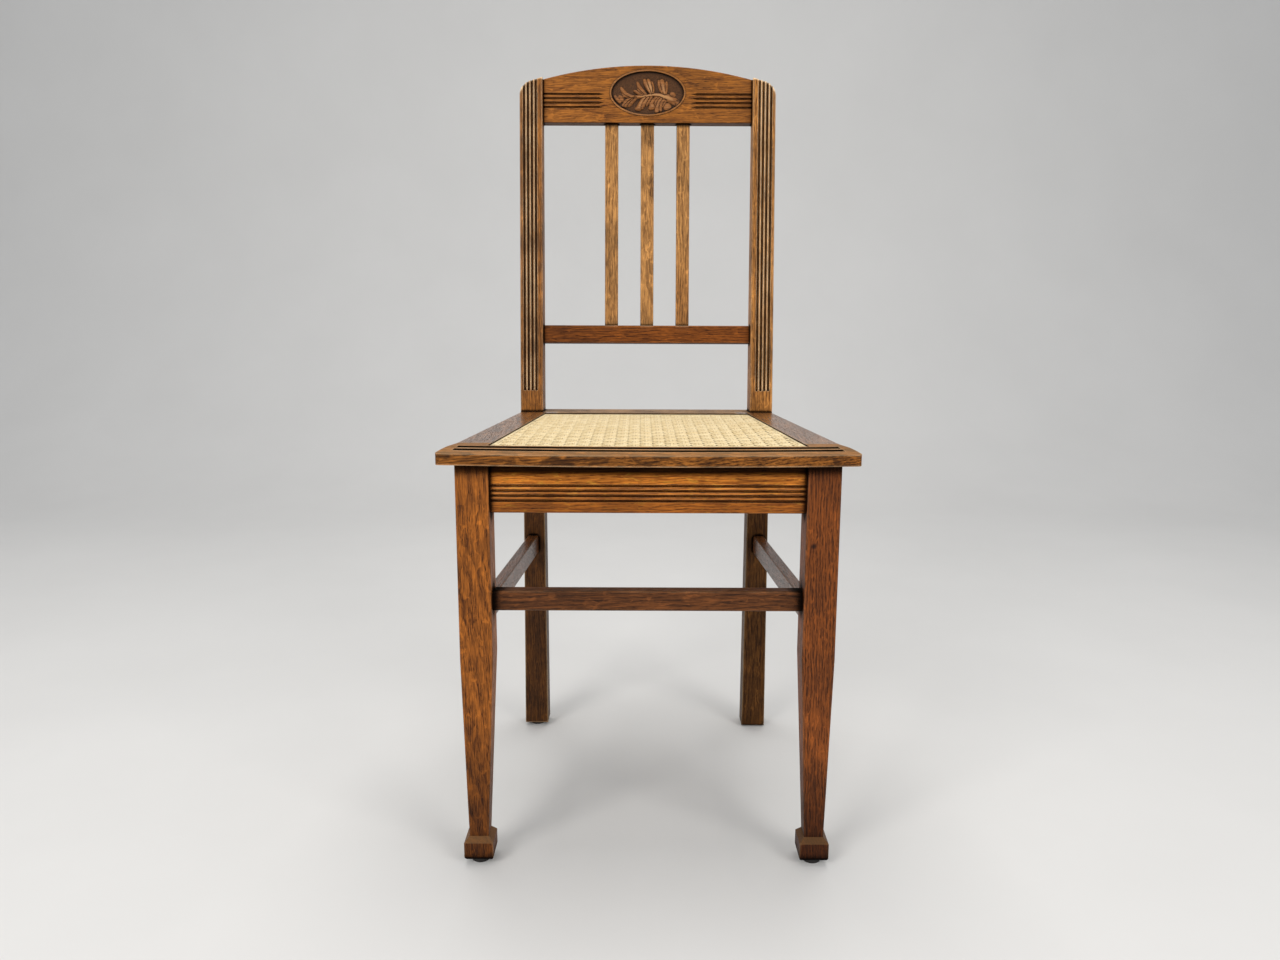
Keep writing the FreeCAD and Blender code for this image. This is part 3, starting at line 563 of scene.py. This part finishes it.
def strand_path(kind, start, way, row):
    """Points along a strand's middle with both ends turned down, or none where it only cuts a corner."""
    far = np.arange(-STRAND_REACH, STRAND_REACH, SEARCH_STEP)
    inside = room(start[0] + far * way[0], start[1] + far * way[1]) > TURN
    if inside.sum() < FEWEST_INSIDE:
        return []
    low, high = far[inside][0], far[inside][-1]
    run = np.linspace(low, high, max(FEWEST_STEPS, int((high - low) / STRAND_STEP)))
    x = start[0] + run * way[0]
    y = start[1] + run * way[1]
    z = CANE_MID + woven_height(kind, x, y, row)
    head = [(x[0] - way[0] * out, y[0] - way[1] * out, z[0] - down) for out, down in reversed(TURNED_DOWN)]
    tail = [(x[-1] + way[0] * out, y[-1] + way[1] * out, z[-1] - down) for out, down in TURNED_DOWN]
    return head + list(zip(x, y, z)) + tail


def strand_points(path, way, wide):
    """The strand's section at each point of its path, in metres."""
    return [((x - way[1] * a * wide) * MM, (y + way[0] * a * wide) * MM, (z + b * THICK) * MM)
            for x, y, z in path for a, b in SECTION_SHARES]


def strand_faces(first, sections):
    """Faces between a strand's sections, with both ends closed."""
    faces = []
    n = len(SECTION_SHARES)
    for step in range(sections - 1):
        for k in range(n):
            a = first + step * n + k
            b = first + step * n + (k + 1) % n
            faces.append((a, a + n, b + n, b))
    last = first + (sections - 1) * n
    faces.append(tuple(first + k for k in range(n)))
    faces.append(tuple(last + k for k in reversed(range(n))))
    return faces


def cane_weave():
    verts, faces, kinds, tones = [], [], [], []
    rng = np.random.default_rng(CANE_SEED)
    for kind, start, way, row in strand_lines():
        path = strand_path(kind, start, way, row)
        if not path:
            continue
        wide = STRAND * (NARROWEST_SHARE + WIDTH_SWING_SHARE * rng.random())
        tone = rng.random()
        points = strand_points(path, way, wide)
        skin = strand_faces(len(verts), len(path))
        verts += points
        faces += skin
        tones += [tone] * len(points)
        kinds += [kind] * len(skin)
    mesh = smooth_mesh("cane_weave", verts, faces)
    mesh.attributes.new("tone", "FLOAT", "POINT").data.foreach_set("value", tones)
    for letter, turn in zip("abcd", CANE_TURNS):
        mesh.materials.append(cane_skin("cane_skin_" + letter, math.radians(turn)))
    mesh.polygons.foreach_set("material_index", kinds)
    mesh.update()
    piece = linked("cane_weave", mesh)
    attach(piece, "root")
    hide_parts("cane_panel")


# The leaf spray carved in the crest's oval: strokes of (x, s, half width, height) in millimetres
SPRAY = [
    [(39.0, -11.6, 2.6, 2.4), (32.5, -7.6, 3.0, 2.9), (27.0, -5.0, 2.9, 3.1), (21.2, -3.4, 2.4, 3.2),
     (16.0, -1.6, 1.7, 3.2), (8.0, -1.0, 1.4, 3.2), (-2.0, -2.8, 1.3, 3.1), (-8.0, -3.4, 1.3, 3.0),
     (-15.5, -3.8, 1.5, 2.8), (-22.0, -5.8, 1.6, 2.6), (-28.5, -10.0, 1.8, 2.3), (-32.0, -15.0, 1.6, 1.8)],
    [(34.0, -8.6, 2.0, 2.5), (38.6, -9.4, 1.3, 2.3), (40.4, -9.0, 0.9, 2.0)],
    [(34.0, -9.4, 2.0, 2.5), (37.6, -12.6, 1.4, 2.2), (38.4, -14.0, 0.9, 1.8)],
    [(5.0, -0.6, 1.2, 2.9), (1.0, 7.0, 1.9, 3.0), (-2.0, 13.0, 2.0, 2.8), (-4.2, 18.0, 1.3, 2.2)],
    [(6.0, 0.0, 1.3, 2.9), (4.0, 8.0, 2.1, 3.2), (2.0, 14.0, 2.0, 3.0), (0.6, 18.2, 1.3, 2.4)],
    [(7.0, 0.0, 1.2, 2.8), (6.8, 7.0, 1.5, 2.7), (6.2, 11.5, 1.4, 2.5), (5.6, 15.2, 1.0, 2.0)],
    [(-2.0, -0.8, 1.2, 2.8), (-7.0, 4.0, 1.7, 2.7), (-11.2, 9.2, 1.7, 2.5), (-13.4, 14.4, 1.2, 2.1)],
    [(-4.0, -1.4, 1.0, 2.5), (-9.0, 1.6, 1.4, 2.3), (-12.5, 6.0, 1.2, 2.0)],
    [(-6.0, -2.0, 1.0, 2.7), (-11.2, 0.6, 1.4, 2.7), (-16.0, 3.4, 1.3, 2.6), (-17.4, 3.9, 1.0, 2.4)],
    [(-15.4, -3.8, 1.1, 2.8), (-22.0, -3.4, 1.5, 2.8), (-28.0, -0.8, 1.6, 2.6), (-32.6, 4.0, 1.7, 2.4),
     (-34.8, 7.4, 1.3, 2.0)],
    [(-17.0, -4.8, 1.1, 2.6), (-24.0, -3.9, 1.3, 2.3), (-30.0, -2.4, 1.3, 2.1), (-33.0, 0.0, 1.0, 1.7)],
    [(-43.4, -3.6, 1.3, 1.9), (-40.6, -6.6, 1.7, 2.3), (-37.2, -10.0, 1.6, 2.1)],
    [(-37.0, -3.6, 1.4, 1.9), (-35.0, -5.0, 1.9, 2.3), (-33.6, -8.0, 1.4, 2.0)],
    [(-18.0, -5.0, 1.2, 2.6), (-23.0, -8.2, 1.5, 2.6), (-27.0, -12.6, 1.5, 2.6), (-29.6, -15.4, 1.5, 2.5)],
    [(-15.0, -5.0, 1.2, 2.5), (-19.6, -9.0, 1.5, 2.5), (-23.0, -12.4, 1.6, 2.5), (-24.8, -14.6, 1.4, 2.3)],
    [(-3.0, -3.6, 1.2, 2.9), (-7.4, -8.4, 1.7, 2.9), (-9.8, -13.6, 1.9, 2.9), (-11.6, -18.2, 2.2, 2.8),
     (-14.0, -19.0, 1.7, 2.4)],
    [(2.0, -3.0, 1.2, 2.8), (-2.0, -8.0, 1.7, 2.8), (-5.4, -13.4, 1.8, 2.7), (-7.6, -17.4, 1.5, 2.3)],
    [(6.0, -2.8, 1.1, 2.6), (2.0, -8.4, 1.4, 2.4), (-1.4, -14.0, 1.2, 2.0)],
    [(12.0, -3.6, 1.2, 2.8), (7.0, -8.6, 1.7, 2.6), (4.8, -12.6, 1.7, 2.6), (6.4, -15.8, 2.6, 2.9),
     (3.4, -18.0, 1.5, 2.2)],
    [(16.0, -4.0, 1.2, 2.7), (11.4, -9.0, 1.5, 2.6), (9.8, -14.0, 1.4, 2.4)],
    [(19.0, -4.8, 1.2, 2.8), (14.6, -10.0, 1.6, 2.8), (12.8, -16.4, 1.8, 2.8), (12.2, -22.2, 1.9, 2.5)],
    [(23.0, -6.2, 1.2, 2.7), (18.6, -11.4, 1.5, 2.6), (16.6, -16.4, 1.5, 2.5), (17.6, -21.4, 1.2, 2.0)],
    [(25.0, -7.4, 1.1, 2.5), (22.0, -11.6, 1.3, 2.3), (20.6, -15.8, 1.1, 1.9)],
    [(22.6, -1.6, 1.2, 2.8), (21.2, 5.6, 2.0, 3.0), (20.0, 11.6, 2.2, 2.9), (18.8, 17.0, 1.7, 2.4)],
    [(21.2, -1.2, 1.0, 2.5), (17.4, 5.4, 1.4, 2.4), (15.4, 11.4, 1.4, 2.2), (14.6, 17.0, 1.0, 1.8)],
    [(24.0, -2.0, 1.0, 2.5), (24.4, 5.0, 1.4, 2.4), (25.0, 11.0, 1.4, 2.2), (24.8, 15.4, 1.0, 1.8)],
    [(32.8, -1.2, 2.6, 2.6)],
    [(26.2, -16.8, 3.3, 2.8)],
]
TALLEST_LEAF = 3.2
STROKE_STEPS = 14
LEAF_FULL = 1.8
SPRAY_DROP = 1.1
VEIN_DEPTH = 1.3
VEIN_SPREAD = 0.16
OVAL_GAP = 0.05
RING_STEP = 0.45
SPOKES = 360
GROUND_HEIGHT = 0.18
GROUND_WAVE = 0.10
GROUND_GRIT = 0.06
GROUND_TURNS = (2.1, 2.3)
GROUND_BEND = 3
GROUND_SEED = 3

# Carved oak: turns of the marks per metre, spans as for the oak, and colours
CARVED_FIBRE = dict(scale=(30, 700, 700), detail=4.0)
CARVED_SPECK = dict(scale=(900, 900, 900), detail=3.0)
CARVED_SPECK_SPAN = (0.35, 0.65)
LEAF_SPAN = (0.05, 0.5)
TIP_SPAN = (0.80, 0.98, 0.0, 0.4)
CUT_SPAN = (0.50, 0.94, 1.0, 0.0)
GROUND_TONES = (linear(92, 58, 31), linear(60, 37, 18))
LEAF_TONES = (linear(154, 100, 53), linear(108, 66, 31))
# painted highlight on the leaves' highest tops
TIP_HIGHLIGHT = linear(208, 162, 112)
# painted shade in the cuts around the leaves
CUT_SHADE = linear(24, 13, 6)
CUT_REACH = 0.005
CARVED_BUMP = (0.35, 0.0002)
CARVED_ROUGHNESS = 0.45
CARVED_SHINE = 0.18


def carving_skin():
    """Carved oak, with painted highlights on the leaves' tops and painted shade in the cuts."""
    t = Tree("carved_oak")
    place = t.place()
    raised = t.attribute("lift")
    fibre = t.noise(place, **CARVED_FIBRE)
    speck = t.noise(place, **CARVED_SPECK)
    ground = t.mix(t.span(speck, *CARVED_SPECK_SPAN), *GROUND_TONES)
    leaf = t.mix(t.span(fibre, *NOISE_SPAN), *LEAF_TONES)
    colour = t.mix(t.span(raised, *LEAF_SPAN), ground, leaf)
    # Painted highlight on the leaf tops
    colour = t.mix(t.span(raised, *TIP_SPAN), colour, TIP_HIGHLIGHT)
    # Painted shade in the cuts
    colour = t.mix(t.span(t.openness(CUT_REACH), *CUT_SPAN), colour, CUT_SHADE)
    relief = t.bump(t.math("ADD", fibre, speck), *CARVED_BUMP)
    return t.finish({"Base Color": colour, "Roughness": CARVED_ROUGHNESS, "Normal": relief,
                     "Specular IOR Level": CARVED_SHINE})


def stroke_points(stroke):
    """The stroke's points with STROKE_STEPS steps between each two."""
    points = np.array(stroke)
    last = len(points) - 1
    along = np.linspace(0, last, STROKE_STEPS * last + 1)
    return np.stack([np.interp(along, np.arange(last + 1), column) for column in points.T], 1)


def spray_height(x, s):
    """Height of the leaves above the oval's floor, with a cut between neighbouring strokes."""
    height = np.zeros_like(x)
    second = np.zeros_like(x)
    for stroke in SPRAY:
        mine = np.zeros_like(x)
        for px, ps, wide, tall in stroke_points(stroke):
            near = 1 - ((x - px) ** 2 + (s + SPRAY_DROP - ps) ** 2) / (LEAF_FULL * wide) ** 2
            mine = np.maximum(mine, tall * np.sqrt(np.clip(near, 0, 1)))
        second = np.maximum(second, np.minimum(height, mine))
        height = np.maximum(height, mine)
    vein = np.exp(-((height - second) / VEIN_SPREAD) ** 2) * np.clip(second, 0, 1)
    return np.maximum(height - VEIN_DEPTH * vein, 0)


def ground_height(x, s, rng):
    """Height of the uneven floor between the leaves."""
    wave = np.sin(x * GROUND_TURNS[0] + GROUND_BEND * np.sin(s)) * np.sin(s * GROUND_TURNS[1])
    return GROUND_HEIGHT + GROUND_WAVE * wave + GROUND_GRIT * rng.random(SPOKES)


def disc_faces(rings):
    """Faces of a disc with its middle at point 0 and then SPOKES points on each ring."""
    faces = [(0, 1 + k, 1 + (k + 1) % SPOKES) for k in range(SPOKES)]
    for ring in range(rings - 1):
        for k in range(SPOKES):
            p = 1 + ring * SPOKES + k
            q = 1 + ring * SPOKES + (k + 1) % SPOKES
            faces.append((p, p + SPOKES, q + SPOKES, q))
    return faces


def carved_oval():
    half_wide, half_tall = OVAL_HALF[0] - OVAL_GAP, OVAL_HALF[1] - OVAL_GAP
    rings = int(half_tall / RING_STEP)
    angle = np.linspace(0, 2 * math.pi, SPOKES, endpoint=False)
    rng = np.random.default_rng(GROUND_SEED)
    floor_depth = CREST_FACE + OVAL_DEPTH
    middle = spray_height(np.zeros(1), np.zeros(1))[0]
    verts = [on_back(0, floor_depth - middle, OVAL_CENTRE)]
    lifts = [middle / TALLEST_LEAF]
    for ring in range(1, rings + 1):
        share = ring / rings
        x, s = half_wide * share * np.cos(angle), half_tall * share * np.sin(angle)
        for px, ps, leaf, ground in zip(x, s, spray_height(x, s), ground_height(x, s, rng)):
            verts.append(on_back(px, floor_depth - max(leaf, ground), OVAL_CENTRE + ps))
            lifts.append(leaf / TALLEST_LEAF)
    mesh = smooth_mesh("carved_leaves", verts, disc_faces(rings))
    mesh.attributes.new("lift", "FLOAT", "POINT").data.foreach_set("value", lifts)
    mesh.materials.append(carving_skin())
    mesh.update()
    piece = linked("carved_leaves", mesh)
    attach(piece, "root")


# Camera as fitted to the photo: pixels, millimetres of sensor, degrees and metres
FOCAL_PIXELS = 977.13
FRAME_PIXELS = 1280
SENSOR = 36.0
LOOK_DOWN = 10.11
ROLL = 0.20
CAMERA_PLACE = (-0.00834, -1.16300, 0.60044)


def add_camera():
    data = bpy.data.cameras.new("camera")
    data.sensor_width = SENSOR
    data.sensor_fit = "HORIZONTAL"
    data.lens = FOCAL_PIXELS / FRAME_PIXELS * SENSOR
    camera = linked("camera", data)
    tilt = Matrix.Rotation(math.radians(90 - LOOK_DOWN), 4, "X")
    roll = Matrix.Rotation(math.radians(ROLL), 4, "Z")
    camera.matrix_world = Matrix.Translation(CAMERA_PLACE) @ tilt @ roll
    bpy.context.scene.camera = camera


# Floor and wall in metres, joined by a round bend
FLOOR_FRONT = -4.0
FLOOR_REAR = 1.6
FLOOR_HALF = 6.0
FLOOR_ROWS = 9
BEND_RADIUS = 1.2
BEND_ROWS = 15
WALL_TOP = 5.0
FLOOR_CLOUD = dict(scale=(3, 3, 3), detail=5.0)
FLOOR_TONES = ((0.66, 0.66, 0.655, 1.0), (0.72, 0.72, 0.715, 1.0))
FLOOR_ROUGHNESS = 0.85


def floor_paint():
    t = Tree("floor_paint")
    tint = t.mix(t.noise(t.place(), **FLOOR_CLOUD), *FLOOR_TONES)
    return t.finish({"Base Color": tint, "Roughness": FLOOR_ROUGHNESS})


def add_floor():
    rows = [(y, 0.0) for y in np.linspace(FLOOR_FRONT, FLOOR_REAR, FLOOR_ROWS)]
    for angle in np.linspace(0, math.pi / 2, BEND_ROWS)[1:]:
        rows.append((FLOOR_REAR + BEND_RADIUS * math.sin(angle), BEND_RADIUS - BEND_RADIUS * math.cos(angle)))
    rows.append((FLOOR_REAR + BEND_RADIUS, WALL_TOP))
    verts = [(x, y, z) for y, z in rows for x in (-FLOOR_HALF, FLOOR_HALF)]
    faces = [(2 * i, 2 * i + 1, 2 * i + 3, 2 * i + 2) for i in range(len(rows) - 1)]
    mesh = smooth_mesh("floor", verts, faces)
    mesh.materials.append(floor_paint())
    floor = linked("floor", mesh)


# Light: each lamp's name, place, aim and size in metres, and power in watts
SKY = (0.95, 0.97, 1.0, 1.0)
SKY_STRENGTH = 0.45
LAMP_TINT = (1.0, 0.97, 0.93)
LAMPS = [
    ("key", (-1.5, -2.1, 1.7), (0, 0, 0.5), 1.1, 34.0),
    ("fill", (1.7, -2.0, 1.5), (0, 0, 0.5), 1.1, 25.0),
    ("top", (0.0, 0.3, 2.8), (0, 0, 0.4), 1.8, 40.0),
]


def add_light():
    world = bpy.data.worlds.new("studio")
    world.use_nodes = True
    background = world.node_tree.nodes["Background"]
    background.inputs["Color"].default_value = SKY
    background.inputs["Strength"].default_value = SKY_STRENGTH
    bpy.context.scene.world = world
    for name, place, aim, size, power in LAMPS:
        lamp = bpy.data.lights.new(name, "AREA")
        lamp.energy = power
        lamp.size = size
        lamp.color = LAMP_TINT
        item = linked(name, lamp)
        item.location = place
        item.rotation_euler = (Vector(aim) - Vector(place)).to_track_quat("-Z", "Y").to_euler()
    bpy.context.scene.view_settings.view_transform = "Standard"


dress_nodes()
cane_weave()
carved_oval()
add_camera()
add_floor()
add_light()
